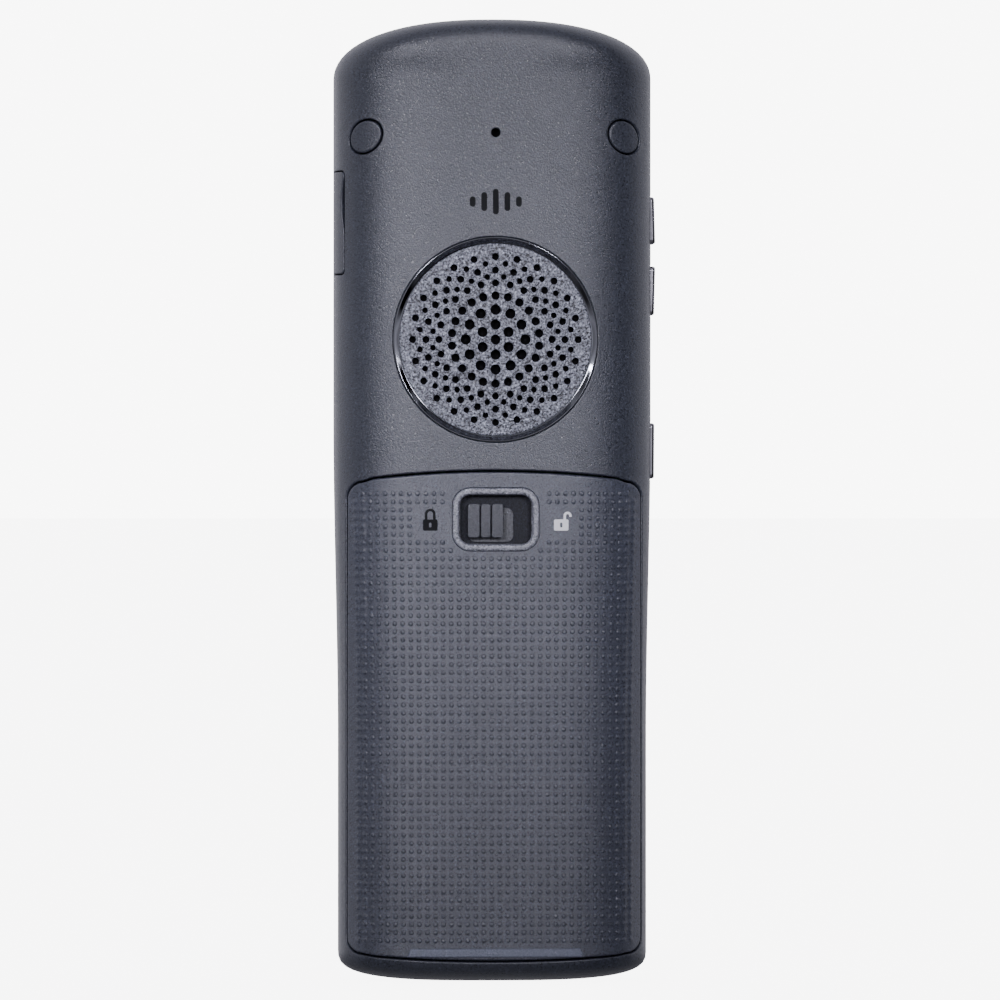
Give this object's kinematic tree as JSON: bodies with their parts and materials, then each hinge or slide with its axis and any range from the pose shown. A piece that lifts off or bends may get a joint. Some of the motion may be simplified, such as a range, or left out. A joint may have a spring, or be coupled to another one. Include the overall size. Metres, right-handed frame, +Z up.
{
  "type": "cordless phone handset",
  "caption": "Upright cordless phone handset with display and keypad in front, and a round loudspeaker grille, side keys, jack flap and locking battery cover behind.",
  "frame": {"origin": "centre of the bottom of the bounding box: the middle of the flat foot it stands on", "axes": "+Z up along the length to the earpiece end, -Y out of the display and keypad, +Y out of the loudspeaker and battery cover, +X to the right of a viewer who faces the display"},
  "size_m": [0.0531, 0.0224, 0.1584],
  "materials": {
    "casing": "fine-grain moulded satin",
    "cover_plastic": "fine-grain moulded satin with raised dots",
    "front_casing": "fine-grain moulded satin",
    "display_window": "polished, black-printed behind",
    "display_panel": "smooth, unlit",
    "mesh": "fine woven cloth",
    "steel": "plated",
    "frame_plastic": "moulded",
    "circuit_board": "solder mask",
    "chip_plastic": "moulded",
    "contact_gold": "gold-plated",
    "mat_rubber": "silicone",
    "grille_metal": "speckled dark paint",
    "ring_chrome": "dark polished chrome",
    "cone_paper": "coated",
    "magnet_iron": "plated",
    "socket_plastic": "moulded",
    "flex_board": "polyimide film",
    "battery_can": "film-wrapped cell",
    "bezel_plastic": "satin",
    "latch_plastic": "satin",
    "flap_rubber": "soft-touch",
    "side_key_plastic": "satin with a lighter face",
    "key_plastic": "satin with printed figures",
    "call_green": "satin",
    "end_red": "satin",
    "ring_plastic": "satin silver"
  },
  "bodies": {
    "handset": {"rear_cover": "casing", "front_cover": "front_casing", "display_lens": "display_window", "display_module": "display_panel", "earpiece_mesh": "mesh", "earpiece_receiver": "steel", "inner_frame": "frame_plastic", "main_board": "circuit_board", "rf_shield": "steel", "board_chips": "chip_plastic", "antenna": "contact_gold", "keypad_mat": "mat_rubber", "key_domes": "steel", "speaker_grille": "grille_metal", "speaker_ring": "ring_chrome", "speaker_mesh": "mesh", "speaker_frame": "frame_plastic", "speaker_cone": "cone_paper", "speaker_magnet": "magnet_iron", "rear_microphone": "steel", "main_microphone": "steel", "headset_jack": "socket_plastic", "data_socket": "steel", "side_key_board": "flex_board", "battery_pack": "battery_can", "battery_terminals": "contact_gold", "charge_contacts": "contact_gold", "case_screws": "steel", "vibrator_motor": "steel"},
    "battery_cover": {"battery_door": "cover_plastic", "latch_bezel": "bezel_plastic", "latch_plate": "steel"},
    "latch": {"latch_slider": "latch_plastic"},
    "clip_plug_left": {"clip_plug_left": "casing"},
    "clip_plug_right": {"clip_plug_right": "casing"},
    "jack_cover": {"jack_cover": "flap_rubber"},
    "volume_up_key": {"volume_up_key": "side_key_plastic"},
    "volume_down_key": {"volume_down_key": "side_key_plastic"},
    "talk_key": {"talk_key": "side_key_plastic"},
    "key_1": {"key_1": "key_plastic"},
    "key_2": {"key_2": "key_plastic"},
    "key_3": {"key_3": "key_plastic"},
    "key_4": {"key_4": "key_plastic"},
    "key_5": {"key_5": "key_plastic"},
    "key_6": {"key_6": "key_plastic"},
    "key_7": {"key_7": "key_plastic"},
    "key_8": {"key_8": "key_plastic"},
    "key_9": {"key_9": "key_plastic"},
    "key_star": {"key_star": "key_plastic"},
    "key_0": {"key_0": "key_plastic"},
    "key_hash": {"key_hash": "key_plastic"},
    "soft_key_left": {"soft_key_left": "key_plastic"},
    "soft_key_right": {"soft_key_right": "key_plastic"},
    "call_key": {"call_key": "call_green"},
    "end_key": {"end_key": "end_red"},
    "nav_plunger": {"nav_plunger": "frame_plastic"},
    "nav_ring": {"nav_ring": "ring_plastic"},
    "ok_key": {"ok_key": "key_plastic"},
    "vibrator_weight": {"vibrator_weight": "magnet_iron"}
  },
  "joints": [
    {"name": "battery_cover_hinge", "type": "hinge", "parent": "handset", "child": "battery_cover", "pos_m": [0, 0.011, 0.0035], "axis": [-1, 0, 0], "range_deg": [0, 40]},
    {"name": "latch_slide", "type": "slide", "parent": "battery_cover", "child": "latch", "axis": [-1, 0, 0], "range_m": [0, 0.0027]},
    {"name": "clip_plug_left_pull", "type": "slide", "parent": "handset", "child": "clip_plug_left", "axis": [0.4216, 0.9041, 0.0698], "range_m": [0, 0.006]},
    {"name": "clip_plug_right_pull", "type": "slide", "parent": "handset", "child": "clip_plug_right", "axis": [-0.4216, 0.9041, 0.0698], "range_m": [0, 0.006]},
    {"name": "jack_cover_hinge", "type": "hinge", "parent": "handset", "child": "jack_cover", "pos_m": [0.0264, 0.0022, 0.11635], "axis": [0, 1, 0], "range_deg": [0, 105]},
    {"name": "volume_up_press", "type": "slide", "parent": "handset", "child": "volume_up_key", "axis": [1, 0, 0], "range_m": [0, 0.0004], "stiffness_N_per_m": 400},
    {"name": "volume_down_press", "type": "slide", "parent": "handset", "child": "volume_down_key", "axis": [1, 0, 0], "range_m": [0, 0.0004], "stiffness_N_per_m": 400},
    {"name": "talk_press", "type": "slide", "parent": "handset", "child": "talk_key", "axis": [1, 0, 0], "range_m": [0, 0.0004], "stiffness_N_per_m": 400},
    {"name": "key_1_press", "type": "slide", "parent": "handset", "child": "key_1", "axis": [0, 1, 0], "range_m": [0, 0.0005], "stiffness_N_per_m": 400},
    {"name": "key_2_press", "type": "slide", "parent": "handset", "child": "key_2", "axis": [0, 1, 0], "range_m": [0, 0.0005], "stiffness_N_per_m": 400},
    {"name": "key_3_press", "type": "slide", "parent": "handset", "child": "key_3", "axis": [0, 1, 0], "range_m": [0, 0.0005], "stiffness_N_per_m": 400},
    {"name": "key_4_press", "type": "slide", "parent": "handset", "child": "key_4", "axis": [0, 1, 0], "range_m": [0, 0.0005], "stiffness_N_per_m": 400},
    {"name": "key_5_press", "type": "slide", "parent": "handset", "child": "key_5", "axis": [0, 1, 0], "range_m": [0, 0.0005], "stiffness_N_per_m": 400},
    {"name": "key_6_press", "type": "slide", "parent": "handset", "child": "key_6", "axis": [0, 1, 0], "range_m": [0, 0.0005], "stiffness_N_per_m": 400},
    {"name": "key_7_press", "type": "slide", "parent": "handset", "child": "key_7", "axis": [0, 1, 0], "range_m": [0, 0.0005], "stiffness_N_per_m": 400},
    {"name": "key_8_press", "type": "slide", "parent": "handset", "child": "key_8", "axis": [0, 1, 0], "range_m": [0, 0.0005], "stiffness_N_per_m": 400},
    {"name": "key_9_press", "type": "slide", "parent": "handset", "child": "key_9", "axis": [0, 1, 0], "range_m": [0, 0.0005], "stiffness_N_per_m": 400},
    {"name": "key_star_press", "type": "slide", "parent": "handset", "child": "key_star", "axis": [0, 1, 0], "range_m": [0, 0.0005], "stiffness_N_per_m": 400},
    {"name": "key_0_press", "type": "slide", "parent": "handset", "child": "key_0", "axis": [0, 1, 0], "range_m": [0, 0.0005], "stiffness_N_per_m": 400},
    {"name": "key_hash_press", "type": "slide", "parent": "handset", "child": "key_hash", "axis": [0, 1, 0], "range_m": [0, 0.0005], "stiffness_N_per_m": 400},
    {"name": "soft_key_left_press", "type": "slide", "parent": "handset", "child": "soft_key_left", "axis": [0, 1, 0], "range_m": [0, 0.0005], "stiffness_N_per_m": 400},
    {"name": "soft_key_right_press", "type": "slide", "parent": "handset", "child": "soft_key_right", "axis": [0, 1, 0], "range_m": [0, 0.0005], "stiffness_N_per_m": 400},
    {"name": "call_key_press", "type": "slide", "parent": "handset", "child": "call_key", "axis": [0, 1, 0], "range_m": [0, 0.0005], "stiffness_N_per_m": 400},
    {"name": "end_key_press", "type": "slide", "parent": "handset", "child": "end_key", "axis": [0, 1, 0], "range_m": [0, 0.0005], "stiffness_N_per_m": 400},
    {"name": "nav_up_down_tilt", "type": "hinge", "parent": "handset", "child": "nav_plunger", "pos_m": [0, -0.007, 0.0752], "axis": [1, 0, 0], "range_deg": [-3, 3], "stiffness_Nm_per_rad": 0.08},
    {"name": "nav_left_right_tilt", "type": "hinge", "parent": "nav_plunger", "child": "nav_ring", "pos_m": [0, -0.007, 0.0752], "axis": [0, 0, 1], "range_deg": [-3, 3], "stiffness_Nm_per_rad": 0.08},
    {"name": "ok_press", "type": "slide", "parent": "handset", "child": "ok_key", "axis": [0, 1, 0], "range_m": [0, 0.0005], "stiffness_N_per_m": 400},
    {"name": "vibrator_spin", "type": "hinge", "parent": "handset", "child": "vibrator_weight", "pos_m": [-0.0092, 0, 0.142], "axis": [1, 0, 0], "continuous": true}
  ]
}
